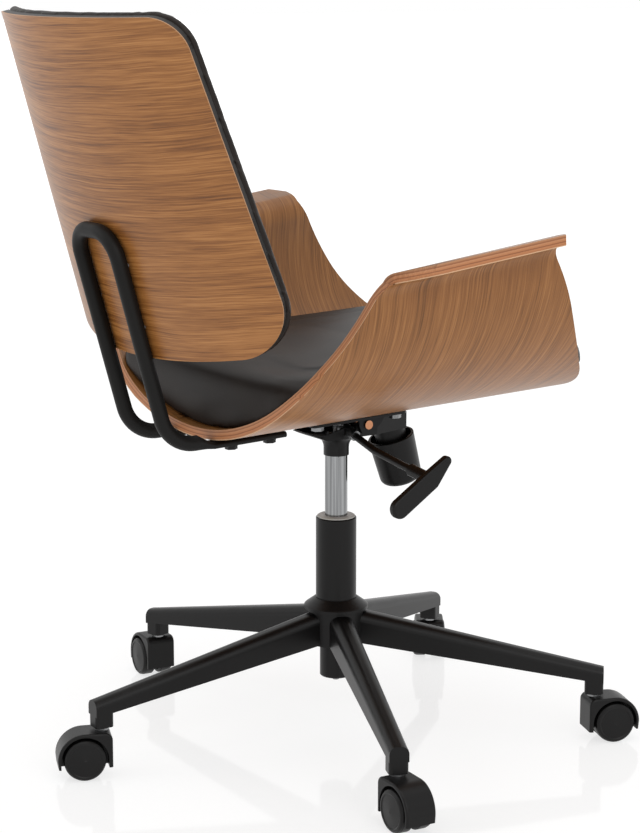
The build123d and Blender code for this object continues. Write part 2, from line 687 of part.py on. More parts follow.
nuts = []
for x, y in plate_spots + bracket_spots:
    top = rise(x) + PLY - NUT_SINK
    shell -= Pos(x, y, 0) * rod(TEE_BARREL_R + SNUG, -5, top + 5)
    shell -= Pos(x, y, 0) * rod(TEE_FLANGE_R + CLEAR, top - TEE_FLANGE_T - SNUG, top + 5)
    flange = tube(TEE_FLANGE_R, BOLT_R + SNUG, top - TEE_FLANGE_T, top)
    barrel = tube(TEE_BARREL_R, BOLT_R + SNUG, top - TEE_LENGTH, top - TEE_FLANGE_T)
    nuts.append(Pos(x, y, 0) * (flange + barrel))
parts["seat_shell"] = SEAT * shell
parts["tee_nuts"] = SEAT * Compound(children=nuts)

# Tilt plate, its bolts and spacers
plate_low = PLATE_TOP_N - PLATE_T
plate_plan = [
    (-18, PLATE_FRONT_Y),
    (18, PLATE_FRONT_Y),
    (PLATE_HALF, PLATE_FRONT_Y + 22),
    (PLATE_HALF, PLATE_REAR_Y),
    (-PLATE_HALF, PLATE_REAR_Y),
    (-PLATE_HALF, PLATE_FRONT_Y + 22),
]
plate_face = make_face(Polyline(*[(x, y, plate_low) for x, y in plate_plan], close=True))
plate = extrude(fillet(plate_face.vertices(), 6), PLATE_T)
cheek_low = -26.0
cheek = side_face([
    (-50, plate_low + 1),
    (-10, plate_low + 1),
    (-10, cheek_low + 12),
    (-14, cheek_low + 3),
    (-30, cheek_low + 3),
    (-42, cheek_low + 12),
])
for x in (CHEEK_X, -CHEEK_X - CHEEK_T):
    plate += Pos(x, 0, 0) * extrude(cheek, CHEEK_T, dir=(1, 0, 0))
yoke_y = -74.5
yoke_low = -18.0
plate += block(-16, 16, yoke_y - 11, yoke_y + 11, yoke_low, plate_low + 1)
plate -= block(-13.5, 13.5, yoke_y - 12, yoke_y + 12, yoke_low + 2.5, plate_low)
plate -= Pos(0, yoke_y, 0) * rod(SPINDLE_R + 4, yoke_low - 1, yoke_low + 3)
for x, y in plate_spots:
    plate -= Pos(x, y, 0) * rod(BOLT_R + 0.3, plate_low - 1, 5)
plate = SEAT * plate
plate -= Pos(0, PIVOT_Y, PIVOT_Z) * Rot(Y=90) * Cylinder(PIVOT_R + RUN, 100)
parts["tilt_plate"] = plate


def bolt(head_top, tip, across):
    """Hex bolt from below: head under head_top, shank up to tip, thin washer face."""
    head = hexagon(across, head_top - 5.3, head_top - 1.3) + tube(8, 2, head_top - 1.4, head_top - 0.05)
    return head + rod(BOLT_R, head_top - 3, tip)


plate_bolts = []
spacers = []
for x, y in plate_spots:
    plate_bolts.append(Pos(x, y, 0) * bolt(plate_low, rise(x) + PLY - 1, 13))
    spacers.append(Pos(x, y, 0) * tube(10, BOLT_R + 0.3, PLATE_TOP_N + 0.05, 8) - under)
parts["plate_bolts"] = SEAT * Compound(children=plate_bolts)
parts["plate_spacers"] = SEAT * Compound(children=spacers)

# Seat cushion on its board
board_w = 1.5 * SEAT_PAD_HALF
board_l = 0.84 * (SEAT_PAD_REAR_Y - SEAT_PAD_FRONT_Y)
board_mid = (SEAT_PAD_REAR_Y + SEAT_PAD_FRONT_Y) / 2 + PLY / 2
board_outline = Pos(0, board_mid, 0) * RectangleRounded(board_w, board_l, board_w / 5)
board = extrude(board_outline, SEAT_PAD_TOP_N) & (over - Pos(0, 0, PAD_BOARD) * over)
parts["seat_board"] = SEAT * board


def pad_outline(n, inset):
    """Plan of the seat cushion at one height: drawn-in sides, rounded corners."""
    h = SEAT_PAD_HALF - inset
    r = SEAT_PAD_REAR_Y - inset
    f = SEAT_PAD_FRONT_Y + inset
    m = (r + f) / 2
    face = make_face(
        [
            ThreePointArc((-h, r, n), (0, r + SEAT_PAD_REAR_BOW, n), (h, r, n)),
            ThreePointArc((h, r, n), (h - 3, m, n), (h, f, n)),
            ThreePointArc((h, f, n), (0, f - SEAT_PAD_FRONT_BOW, n), (-h, f, n)),
            ThreePointArc((-h, f, n), (3 - h, m, n), (-h, r, n)),
        ]
    )
    back = [v for v in face.vertices() if v.Y > 0]
    face = fillet(back, SEAT_PAD_REAR_CORNER - inset * 0.4)
    front = [v for v in face.vertices() if v.Y < m and abs(v.X) > h - 1]
    return fillet(front, SEAT_PAD_FRONT_CORNER - inset * 0.6)


crown = [pad_outline(SEAT_PAD_TOP_N - below, inset) for below, inset in SEAT_PAD_CROWN]
pillow = loft([pad_outline(SEAT_PAD_FOOT_N, 3), *crown])
board_room = extrude(offset(board_outline, CLEAR), SEAT_PAD_TOP_N) - Pos(0, 0, PAD_BOARD + PAD_GAP) * over
cushion = (pillow & over) - board_room
parts["seat_cushion"] = SEAT * cushion


# Back panel and its cushion
def panel_outline(grow):
    """Outline of the back seen square on, feet at z = 0."""
    f, h = PANEL_FOOT_HALF + grow, PANEL_HEAD_HALF + grow
    low, top = -grow, PANEL_H + grow
    face = make_face(
        [
            ThreePointArc((-f, 0, low + PANEL_FOOT_BOW), (0, 0, low), (f, 0, low + PANEL_FOOT_BOW)),
            Line((f, 0, low + PANEL_FOOT_BOW), (h, 0, top - PANEL_HEAD_BOW)),
            ThreePointArc((h, 0, top - PANEL_HEAD_BOW), (0, 0, top), (-h, 0, top - PANEL_HEAD_BOW)),
            Line((-h, 0, top - PANEL_HEAD_BOW), (-f, 0, low + PANEL_FOOT_BOW)),
        ]
    )
    face = fillet([v for v in face.vertices() if v.Z < PANEL_H / 4], PANEL_FOOT_CORNER)
    return fillet([v for v in face.vertices() if v.Z > PANEL_H * 0.9], PANEL_HEAD_CORNER)


def drum(depth):
    """Cylinder whose surface lies depth in front of the panel rear face."""
    return Pos(0, -PANEL_R, 0) * rod(PANEL_R - depth, -PANEL_MARGIN, PANEL_H + PANEL_MARGIN)


def through(face, y0, y1):
    """Outline carried straight through from y0 to y1."""
    return Pos(0, y0, 0) * extrude(face, y1 - y0, dir=(0, 1, 0))


def sheet_from(face, deep):
    """Solid under an outline, from the panel rear face inward, its edges cut square to the curve."""
    trimmed = drum(0) & through(face, -PANEL_R / 2, PANEL_MARGIN)
    skin = max(trimmed.faces().filter_by(GeomType.CYLINDER), key=lambda f: f.area)
    return thicken(skin, -deep)


panel = sheet_from(panel_outline(0), BACK_PLY)
screw_spots = [(s * TUBE_HALF, h) for s in (-1, 1) for h in BACK_SCREW_H]
screw_face_y = -PANEL_R + sqrt((PANEL_R - BACK_PLY)**2 - TUBE_HALF**2)
for x, h in screw_spots:
    screw_way = Pos(x, 0, h) * Rot(X=-90)
    panel -= screw_way * rod(SCREW_R + 0.2, screw_face_y - 1, PANEL_MARGIN)
    panel -= screw_way * rod(SCREW_HEAD_R + 0.2, screw_face_y - 1, screw_face_y + SCREW_SINK + SCREW_HEAD_T)
parts["back_panel"] = PANEL * panel

board_face = Pos(0, 0, PANEL_H * 0.06) * scale(panel_outline(0), by=0.88)
back_board = (drum(BACK_PLY + PAD_GAP) - drum(BACK_PLY + PAD_BOARD)) & sheet_from(board_face, 2 * BACK_PLY)
parts["back_board"] = PANEL * back_board


def pad_section(h, mid, rim):
    """Section of the back cushion at one height, mid thick in the middle and rim at the sides."""
    half = PANEL_FOOT_HALF + 5 + (PANEL_HEAD_HALF - PANEL_FOOT_HALF) * h / PANEL_H
    rear = PANEL_R - BACK_PLY - PAD_GAP
    front = PANEL_R - BACK_PLY - rim
    side_y = -PANEL_R + sqrt(rear**2 - half**2)
    rim_y = -PANEL_R + sqrt(front**2 - half**2)
    return make_face(
        [
            ThreePointArc((-half, side_y, h), (0, rear - PANEL_R, h), (half, side_y, h)),
            Line((half, side_y, h), (half, rim_y, h)),
            ThreePointArc((half, rim_y, h), (0, -BACK_PLY - mid, h), (-half, rim_y, h)),
            Line((-half, rim_y, h), (-half, side_y, h)),
        ]
    )


slab = loft(
    [
        pad_section(-20, BACK_PAD_MID - 16, BACK_PAD_RIM - 1),
        pad_section(PANEL_H * 0.25, BACK_PAD_MID, BACK_PAD_RIM),
        pad_section(PANEL_H * 0.6, BACK_PAD_MID, BACK_PAD_RIM),
        pad_section(PANEL_H + 20, BACK_PAD_MID - 16, BACK_PAD_RIM - 1),
    ]
)
back_pad = slab & sheet_from(panel_outline(BACK_PAD_LAP), BACK_PLY + 2 * BACK_PAD_MID)
broad_faces = sorted(back_pad.faces(), key=lambda f: f.area)[-2:]
front_face = min(broad_faces, key=lambda f: f.center().Y)
back_pad = fillet(front_face.edges(), BACK_PAD_ROUND)
board_room = sheet_from(offset(board_face, CLEAR), 2 * BACK_PLY)
back_pad -= board_room - drum(BACK_PLY + PAD_BOARD + PAD_GAP)
parts["back_cushion"] = PANEL * back_pad

# Back bracket
panel_in_seat = Pos(0, PANEL_Y, PANEL_N) * Rot(X=-BACK_LEAN)


def on_bracket(x, h):
    """Point on the tube axis behind the panel, in the seat frame."""
    return (panel_in_seat * Pos(x, TUBE_STAND, h)).position


loop_high = on_bracket(0, TUBE_TOP_H)
loop_low = on_bracket(0, 0)
heel_y = loop_low.Y + (TUBE_RUN_N - loop_low.Z) * (loop_high.Y - loop_low.Y) / (loop_high.Z - loop_low.Z)
path = FilletPolyline(
    (-TUBE_HALF, ROUND_FRONT_Y, TUBE_RUN_N),
    (-TUBE_HALF, heel_y, TUBE_RUN_N),
    (-TUBE_HALF, loop_high.Y, loop_high.Z),
    (TUBE_HALF, loop_high.Y, loop_high.Z),
    (TUBE_HALF, heel_y, TUBE_RUN_N),
    (TUBE_HALF, ROUND_FRONT_Y, TUBE_RUN_N),
    radius=(TUBE_HEEL_R, TUBE_LOOP_R, TUBE_LOOP_R, TUBE_HEEL_R),
)
start = Plane(origin=path @ 0, z_dir=path % 0)
bracket = sweep(start * Circle(TUBE_R), path=path) - sweep(start * Circle(TUBE_R - TUBE_WALL), path=path)
flat_n = FLAT_TOP_N - FLAT_T / 2


def foot_round(x, y, n):
    """Tube end as four arcs."""
    k = TUBE_R * sqrt(0.5)
    return make_face(
        [
            ThreePointArc((x + k, y, n + k), (x, y, n + TUBE_R), (x - k, y, n + k)),
            ThreePointArc((x - k, y, n + k), (x - TUBE_R, y, n), (x - k, y, n - k)),
            ThreePointArc((x - k, y, n - k), (x, y, n - TUBE_R), (x + k, y, n - k)),
            ThreePointArc((x + k, y, n - k), (x + TUBE_R, y, n), (x + k, y, n + k)),
        ]
    )


def foot_flat(x, y, n):
    """Flattened tube: two straight runs and two round sides."""
    w, t = FLAT_W / 2, FLAT_T / 2
    return make_face(
        [
            Line((x + w - t, y, n + t), (x - w + t, y, n + t)),
            ThreePointArc((x - w + t, y, n + t), (x - w, y, n), (x - w + t, y, n - t)),
            Line((x - w + t, y, n - t), (x + w - t, y, n - t)),
            ThreePointArc((x + w - t, y, n - t), (x + w, y, n), (x + w - t, y, n + t)),
        ]
    )


for x in (-TUBE_HALF, TUBE_HALF):
    flat_end = foot_flat(x, FLAT_REAR_Y, flat_n)
    bracket += loft([foot_round(x, ROUND_FRONT_Y, TUBE_RUN_N), flat_end], ruled=True)
    bracket += extrude(flat_end, FLAT_REAR_Y - FLAT_FRONT_Y, dir=(0, -1, 0))
    for y in BRACKET_BOLT_Y:
        bracket -= Pos(x, y, 0) * rod(BOLT_R + 0.3, -15, 5)
parts["back_bracket"] = bracket

bracket_bolts = []
pads = []
foot_low = FLAT_TOP_N - FLAT_T
for x, y in bracket_spots:
    bracket_bolts.append(Pos(x, y, 0) * bolt(foot_low, rise(x) + PLY - 1, 13))
    pads.append(Pos(x, y, 0) * tube(10.5, BOLT_R + 0.3, FLAT_TOP_N + 0.05, 8) - under)
parts["bracket_bolts"] = SEAT * Compound(children=bracket_bolts)

screws = []
for x, h in screw_spots:
    screw_way = Pos(x, 0, h) * Rot(X=-90)
    head_y = screw_face_y + SCREW_SINK
    head = rod(SCREW_HEAD_R, head_y, head_y + SCREW_HEAD_T - SNUG)
    screws.append(screw_way * (head + rod(SCREW_R, head_y, TUBE_STAND - TUBE_R + 2 * TUBE_WALL)))
    parts["back_bracket"] -= panel_in_seat * (screw_way * rod(SCREW_R + SNUG, -6, TUBE_STAND))
parts["back_bracket"] = SEAT * parts["back_bracket"]
parts["back_screws"] = PANEL * Compound(children=screws)
parts["bracket_pads"] = SEAT * Compound(children=pads)

# Casters: hood with a middle web, pressed-in stem and axle, two free wheels
axle_spot = Pos(CASTER_TRAIL, 0, WHEEL_R)
hood_top = WHEEL_R + HOOD_R
front_x = -11.0
hood_side = make_face(
    [
        Line((front_x, 0, 15), (front_x, 0, hood_top - 9)),
        ThreePointArc(
            (front_x, 0, hood_top - 9),
            (front_x + 9 * (1 - sqrt(0.5)), 0, hood_top - 9 * (1 - sqrt(0.5))),
            (front_x + 9, 0, hood_top),
        ),
        Line((front_x + 9, 0, hood_top), (CASTER_TRAIL, 0, hood_top)),
        ThreePointArc(
            (CASTER_TRAIL, 0, hood_top),
            (CASTER_TRAIL + HOOD_R * sqrt(0.5), 0, WHEEL_R + HOOD_R * sqrt(0.5)),
            (CASTER_TRAIL + HOOD_R, 0, WHEEL_R),
        ),
        Line((CASTER_TRAIL + HOOD_R, 0, WHEEL_R), (CASTER_TRAIL + HOOD_R - 1, 0, 15)),
        Line((CASTER_TRAIL + HOOD_R - 1, 0, 15), (front_x, 0, 15)),
    ]
)
hood = extrude(hood_side, HOOD_HALF, both=True, dir=(0, 1, 0))
hood_edges = [e for e in hood.edges() if abs(abs(e.center().Y) - HOOD_HALF) < 0.1 and e.center().Z > 20]
hood = fillet(hood_edges, 2.5)
room_r = HOOD_R - HOOD_WALL
room = axle_spot * Rot(X=90) * Cylinder(room_r, 2 * HOOD_HALF + 2)
room += block(CASTER_TRAIL - room_r, CASTER_TRAIL + room_r, -HOOD_HALF - 1, HOOD_HALF + 1, 0, WHEEL_R)
web = block(CASTER_TRAIL - room_r, CASTER_TRAIL + room_r, -WEB_HALF, WEB_HALF, 15, hood_top)
hood = hood - (room - web)
hood -= axle_spot * Rot(X=90) * Cylinder(AXLE_R + SNUG, 100)
spigot_r = 4.5
spigot_z = hood_top - 12
hood -= rod(spigot_r + SNUG, spigot_z - 0.2, hood_top + 1)
stem_foot = hood_top + 0.1
stem_collar = SOCKET_BOTTOM_Z - 1.2 - CLEAR
stem_top = SOCKET_BOTTOM_Z + STEM_LENGTH
stem = turned(
    [
        (0, spigot_z),
        (spigot_r, spigot_z),
        (spigot_r, stem_foot),
        (8, stem_foot),
        (8, stem_collar),
        (STEM_R, stem_collar),
        (STEM_R, stem_top - 6),
        (STEM_R - 1, stem_top - 5.5),
        (STEM_R - 1, stem_top - 3.5),
        (STEM_R, stem_top - 3),
        (STEM_R, stem_top - 1),
        (STEM_R - 1, stem_top),
        (0, stem_top),
    ]
)
axle = axle_spot * Rot(X=90) * Cylinder(AXLE_R, 2 * (WHEEL_OUTER - 4))
wheel = turned(
    [
        (AXLE_R + RUN, WHEEL_INNER),
        (9, WHEEL_INNER),
        (9, WHEEL_INNER + 5),
        (WHEEL_R - 4, WHEEL_INNER + 5),
        (WHEEL_R - 4, WHEEL_INNER),
        (WHEEL_R - 1.2, WHEEL_INNER),
        (WHEEL_R, WHEEL_INNER + 1.5),
        (WHEEL_R, WHEEL_OUTER - 5),
        (WHEEL_R - 0.8, WHEEL_OUTER - 2.2),
        (WHEEL_R - 2.6, WHEEL_OUTER - 0.4),
        (WHEEL_R - 4.5, WHEEL_OUTER),
        (WHEEL_R - 6, WHEEL_OUTER - 0.8),
        (0, WHEEL_OUTER + 0.6),
        (0, WHEEL_OUTER - 3.5),
        (AXLE_R + RUN, WHEEL_OUTER - 3.5),
    ]
)
caster_places = [place * Rot(Z=turn) for place, turn in zip(leg_places, CASTER_TURN)]
for k, place in enumerate(caster_places, 1):
    parts[f"caster{k}_hood"] = place * hood
    parts[f"caster{k}_stem"] = place * stem
    parts[f"caster{k}_axle"] = place * axle
    parts[f"caster{k}_wheel_right"] = place * (axle_spot * Rot(X=90) * wheel)
    parts[f"caster{k}_wheel_left"] = place * (axle_spot * Rot(X=-90) * wheel)

os.makedirs("parts", exist_ok=True)
for name, shape in parts.items():
    export_step(shape, f"parts/{name}.step")
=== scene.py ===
import json
from math import copysign, cos, radians, sin

import bmesh
import bpy
from mathutils import Matrix, Vector
from mathutils.bvhtree import BVHTree


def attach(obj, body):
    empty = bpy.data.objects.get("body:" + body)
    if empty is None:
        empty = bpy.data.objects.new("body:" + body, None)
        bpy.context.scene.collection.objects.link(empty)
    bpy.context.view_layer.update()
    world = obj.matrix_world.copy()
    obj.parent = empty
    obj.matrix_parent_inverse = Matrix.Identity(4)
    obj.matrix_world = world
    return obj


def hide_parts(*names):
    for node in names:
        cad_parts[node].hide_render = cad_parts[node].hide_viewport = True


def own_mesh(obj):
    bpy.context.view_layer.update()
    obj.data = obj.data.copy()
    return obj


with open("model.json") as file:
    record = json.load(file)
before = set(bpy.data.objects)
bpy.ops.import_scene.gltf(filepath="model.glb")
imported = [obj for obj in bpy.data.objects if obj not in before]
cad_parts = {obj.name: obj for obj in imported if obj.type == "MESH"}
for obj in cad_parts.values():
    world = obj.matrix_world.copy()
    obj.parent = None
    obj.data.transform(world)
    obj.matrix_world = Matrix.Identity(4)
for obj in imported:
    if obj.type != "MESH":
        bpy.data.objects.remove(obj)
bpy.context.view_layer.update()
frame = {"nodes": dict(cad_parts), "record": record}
nodes = frame["nodes"]
scene = bpy.context.scene

MM = 0.001

# Frames of the seat and of the back panel, as the part has them; angles in degrees
SEAT_HEIGHT = 406.5 * MM
SEAT_TILT = 1.5
PANEL_FOOT = Vector((0, 280.3, 107.2)) * MM
BACK_LEAN = 14.1
PANEL_R = 420 * MM

seat_place = (Matrix.Translation((0, 0, SEAT_HEIGHT))
              @ Matrix.Rotation(radians(-SEAT_TILT), 4, "X"))
panel_place = (seat_place @ Matrix.Translation(PANEL_FOOT)
               @ Matrix.Rotation(radians(-BACK_LEAN), 4, "X"))

# Bent plywood
SHELL_PLY = 12 * MM
BACK_PLY = 9 * MM
FLANGE_LEVEL = 185 * MM     # the arm flanges lie above this, in the seat frame
FLANGE_SPREAD = 0.6         # how far their undersides face sideways, against 1 down
TUB_CENTRE = 150 * MM       # middle of the tub's bend, in the seat frame
SKIN = 0.1 * MM             # how deep under a face the search for the far side starts
NEAREST_FAR_SIDE = 0.6      # where the far side may lie, in thicknesses
FARTHEST_FAR_SIDE = 1.5
LEVEL = 0.75                # cosine between faces that lie level with each other

# Copies of CAD meshes
WELD = 0.02 * MM
CREASE = radians(30)

# Tension spring under the seat
KNOB_LEAN = 17
SPRING_END = 9 * MM
SPRING_GAP = 0.05 * MM
SPINDLE_TRAVEL = 10.5 * MM
WASHER_TRAVEL = 3.1 * MM

# Padding
PAD_VOXEL = 5 * MM
PAD_SHRINK = 2.0 * MM
PAD_PRESSURE = 4.0
PAD_FRAMES = 20
PAD_SMOOTHING = 12

# Studio
SKY_LIGHT = 0.38            # light on the chair
SKY_SEEN = 1.0              # white behind it and in its reflections
FLOOR_GLOW = 0.72
FLOOR_HALF = 30.0
FLOOR_DROP = 0.3 * MM

# Camera of the photograph, whose height in pixels gives the lens; angles in degrees
CAMERA_SPOT = (-2.2298, 1.5314, 0.950)
CAMERA_HEADING = -34.06
CAMERA_DIP = 11.476
FOCAL_PIXELS = 2262.7
PICTURE_HEIGHT = 833
SENSOR = 36.0


# Materials

BUMP_DEPTH = 0.3 * MM

# Walnut grain: length along it and width across it in mm, and its weight in the tone.
# Wide bands, narrow bands, lines and pores; the pores are drawn wider than real ones.
WALNUT_GRAIN = ((500, 40, 0.3), (300, 6, 0.5), (110, 1.7, 1.0), (30, 0.9, 0.5))
WALNUT_SWAY = (143, 143, 71.5)      # size of the slow sways in mm, the last across the grain
SHELL_GRAIN_LEAN = 6
BACK_STOPS = [(0.36, "#683d19"), (0.45, "#8a5626"), (0.53, "#a26a34"), (0.64, "#b98048")]
SHELL_STOPS = [(0.36, "#654019"), (0.45, "#875628"), (0.53, "#986433"), (0.64, "#b07a46")]

# Ply layers from the outer side, at 0, to the inner, at 1
LAYER_STOPS = [(0.02, "#dcb28c"), (0.09, "#dfb690"), (0.14, "#b8774e"), (0.34, "#c38459"),
               (0.42, "#8b5535"), (0.50, "#bd7d53"), (0.70, "#c88d64"), (0.78, "#965d3b"),
               (0.95, "#c08a64")]
WRAPPED_STOPS = [(0.04, "#b98a63"), (0.16, "#c79a74"), (0.24, "#1c1815"), (0.90, "#181512")]
PLY_FLECK = 4 * MM

LEATHER_STOPS = [(0.3, "#191310"), (0.7, "#211a15")]
LEATHER_PEBBLE = 1.8 * MM
LEATHER_CLOUD = 60 * MM


def linear(code):
    """Linear RGBA of an sRGB hex colour."""
    parts = [int(code[i:i + 2], 16) / 255 for i in (1, 3, 5)]
    return [c / 12.92 if c <= 0.04045 else ((c + 0.055) / 1.055) ** 2.4 for c in parts] + [1.0]


def add(tree, kind, links=None, stops=(), **settings):
    """Adds a node with its settings. links gives each input a value or the output that feeds it,
    and stops gives a colour ramp its (place, hex) stops."""
    node = tree.nodes.new(kind)
    for name, value in settings.items():
        setattr(node, name, value)
    for socket, value in (links or {}).items():
        if isinstance(value, bpy.types.NodeSocket):
            tree.links.new(value, node.inputs[socket])
        else:
            node.inputs[socket].default_value = value
    for place, _ in stops[2:]:
        node.color_ramp.elements.new(place)
    for index, (place, code) in enumerate(stops):
        node.color_ramp.elements[index].position = place
        node.color_ramp.elements[index].color = linear(code)
    return node


def new_finish(name, **sockets):
    """New material, its tree and its shader, with the shader's constant sockets set."""
    material = bpy.data.materials.new(name)
    material.use_nodes = True
    tree = material.node_tree
    shader = tree.nodes["Principled BSDF"]
    for socket, value in sockets.items():
        shader.inputs[socket.replace("_", " ")].default_value = value
    return material, tree, shader


def walnut_veneer(name, turn, wave, stops):
    """Sliced walnut veneer under satin lacquer: fine lines about 2 mm wide that sway a little,
    slow bands and short dark pores, with a soft sheen.
    turn brings the direction across the grain onto Z."""
    material, tree, shader = new_finish(name, Roughness=0.36, IOR=1.5, Specular_IOR_Level=0.42)
    spot = add(tree, "ShaderNodeTexCoord").outputs["Object"]
    turned = {"Vector": spot, "Rotation": (radians(turn), 0, 0)}
    grain = add(tree, "ShaderNodeMapping", turned).outputs[0]
    scale = [1 / (length * MM) for length in WALNUT_SWAY]
    slow = add(tree, "ShaderNodeMapping", {"Vector": grain, "Scale": scale}).outputs[0]
    drifting = {"Vector": slow, "Scale": 1.0, "Detail": 2.0}
    drift = add(tree, "ShaderNodeTexNoise", drifting).outputs["Fac"]
    sway = add(tree, "ShaderNodeMath", {0: drift, 1: 0.5}, operation="SUBTRACT").outputs[0]
    shift = add(tree, "ShaderNodeCombineXYZ", {"Z": sway}).outputs[0]
    swung = {0: shift, 1: (wave, wave, wave), 2: grain}
    line = add(tree, "ShaderNodeVectorMath", swung, operation="MULTIPLY_ADD").outputs[0]
    tone = 0.0
    for along, across, weight in WALNUT_GRAIN:
        scale = (1 / (along * MM), 1 / (along * MM), 1 / (across * MM))
        stretched = add(tree, "ShaderNodeMapping", {"Vector": line, "Scale": scale}).outputs[0]
        streaked = {"Vector": stretched, "Scale": 1.0, "Detail": 2.0, "Roughness": 0.55}
        streaks = add(tree, "ShaderNodeTexNoise", streaked).outputs["Fac"]
        weighed = {0: streaks, 1: weight, 2: tone}
        tone = add(tree, "ShaderNodeMath", weighed, operation="MULTIPLY_ADD").outputs[0]
    total = sum(weight for _, _, weight in WALNUT_GRAIN)
    share = add(tree, "ShaderNodeMath", {0: tone, 1: total}, operation="DIVIDE").outputs[0]
    colour = add(tree, "ShaderNodeValToRGB", {"Fac": share}, stops)
    tree.links.new(colour.outputs["Color"], shader.inputs["Base Color"])
    pores = {"Height": streaks, "Strength": 0.10, "Distance": BUMP_DEPTH}
    bump = add(tree, "ShaderNodeBump", pores)
    tree.links.new(bump.outputs[0], shader.inputs["Normal"])
    return material


def ply_edge(name, stops):
    """Sanded and oiled edge of bent beech ply: glue lines and layers that take the stain in turn,
    flecked and with little sheen."""
    material, tree, shader = new_finish(name, Roughness=0.5, IOR=1.5, Specular_IOR_Level=0.35)
    depth = add(tree, "ShaderNodeAttribute", attribute_name="ply_depth").outputs["Fac"]
    spot = add(tree, "ShaderNodeTexCoord").outputs["Object"]
    flecked = {"Vector": spot, "Scale": 1 / PLY_FLECK, "Detail": 3.0}
    fleck = add(tree, "ShaderNodeTexNoise", flecked).outputs["Fac"]
    uneven = {0: fleck, 1: 0.05, 2: depth}
    layers = add(tree, "ShaderNodeMath", uneven, operation="MULTIPLY_ADD").outputs[0]
    colour = add(tree, "ShaderNodeValToRGB", {"Fac": layers}, stops)
    tree.links.new(colour.outputs["Color"], shader.inputs["Base Color"])
    return material


def grained(name, code, grit, strength, stretch=1.0, vary=0.2, **sockets):
    """One-colour finish with a surface grain as wide as grit, stretch times as long upwards,
    that lightens and darkens the colour by the share vary."""
    material, tree, shader = new_finish(name, **sockets)
    spot = add(tree, "ShaderNodeTexCoord").outputs["Object"]
    scale = (1 / grit, 1 / grit, 1 / (grit * stretch))
    grain = add(tree, "ShaderNodeMapping", {"Vector": spot, "Scale": scale}).outputs[0]
    cloudy = {"Vector": grain, "Scale": 1.0, "Detail": 3.0}
    noise = add(tree, "ShaderNodeTexNoise", cloudy).outputs["Fac"]
    dark = [c * (1 - vary) for c in linear(code)[:3]] + [1.0]
    light = [min(1.0, c * (1 + vary)) for c in linear(code)[:3]] + [1.0]
    shade = add(tree, "ShaderNodeMix", {0: noise, 6: dark, 7: light}, data_type="RGBA")
    tree.links.new(shade.outputs[2], shader.inputs["Base Color"])
    raised = {"Height": noise, "Strength": strength, "Distance": BUMP_DEPTH}
    bump = add(tree, "ShaderNodeBump", raised)
    tree.links.new(bump.outputs[0], shader.inputs["Normal"])
    return material


def leatherette():
    """Black coated fabric embossed with a leather grain: soft broad sheen over small pebbles,
    drawn about 2 mm across, which is coarser than real ones."""
    sheen = {"Roughness": 0.48, "IOR": 1.48, "Specular_IOR_Level": 0.22}
    material, tree, shader = new_finish("leatherette", **sheen)
    spot = add(tree, "ShaderNodeTexCoord").outputs["Object"]
    embossed = {"Vector": spot, "Scale": 1 / LEATHER_PEBBLE}
    pebbles = add(tree, "ShaderNodeTexVoronoi", embossed).outputs["Distance"]
    cloudy = {"Vector": spot, "Scale": 1 / LEATHER_CLOUD, "Detail": 3.0}
    cloud = add(tree, "ShaderNodeTexNoise", cloudy).outputs["Fac"]
    colour = add(tree, "ShaderNodeValToRGB", {"Fac": cloud}, LEATHER_STOPS)
    tree.links.new(colour.outputs["Color"], shader.inputs["Base Color"])
    raised = {"Height": pebbles, "Strength": 0.18, "Distance": BUMP_DEPTH}
    bump = add(tree, "ShaderNodeBump", raised)
    tree.links.new(bump.outputs[0], shader.inputs["Normal"])
    return material


back_veneer = walnut_veneer("walnut_veneer_back", SEAT_TILT + BACK_LEAN, 9 * MM, BACK_STOPS)
shell_veneer = walnut_veneer("walnut_veneer_shell", 90 - SHELL_GRAIN_LEAN, 4 * MM, SHELL_STOPS)
shell_edge = ply_edge("ply_edge_shell", LAYER_STOPS)
# The back's cover is drawn over the ply's edge and leaves the outer layer bare
wrapped_edge = ply_edge("ply_edge_under_cover", WRAPPED_STOPS)
leather = leatherette()

# The grain of the finishes below is too fine to show at its real size, so all are drawn coarser;
# the chrome's upright streaks are painted reflection, not grain
dull = {"IOR": 1.5, "Specular_IOR_Level": 0.18}
satin = {"IOR": 1.5, "Specular_IOR_Level": 0.22}
# Baked powder on the bracket's tube: pebbled like orange peel, with a dull broad highlight
powder_coat = grained("powder_coat_black", "#141312", 1.2 * MM, 0.15, Roughness=0.5, **dull)
# Sprayed enamel on steel: smooth and deep black, with a soft highlight along the edges
satin_enamel = grained("satin_enamel_black", "#0d0c0c", 2.0 * MM, 0.06, Roughness=0.36, **satin)
# Nylon from a spark-eroded mould: fine even texture that spreads the highlight
moulded_nylon = grained("moulded_nylon_black", "#0e0d0d", 0.9 * MM, 0.2, Roughness=0.38, **satin)
# Ground and plated cylinder: a mirror whose colour carries strong upright streaks of painted
# reflection
chrome = grained("chrome_plate_painted_reflection", "#8b8c8d", 2.6 * MM, 0.01, 80.0, 0.95,
                 Metallic=1.0, Roughness=0.12)
# Electroplated fastenings: grey and a little mottled, with a blurred shine
zinc = grained("zinc_plate", "#8a8b8c", 1.5 * MM, 0.1, Metallic=1.0, Roughness=0.35)
# Plated pivot pin: warm, almost polished
copper = grained("copper_plate", "#b98261", 1.5 * MM, 0.05, Metallic=1.0, Roughness=0.25)
# Unfilled moulded acetal: milky and waxy
acetal = grained("natural_acetal", "#bdbdb8", 2.0 * MM, 0.05, Roughness=0.4, IOR=1.48)
# Moulded rubber: matt and slightly rough
rubber = grained("black_rubber", "#131212", 1.0 * MM, 0.2, Roughness=0.8, **dull)
# Unfinished ply inside the pads: pale, dry and fibrous
plain_ply = grained("plain_ply", "#b58f66", 3.0 * MM, 0.1, Roughness=0.7, IOR=1.5)

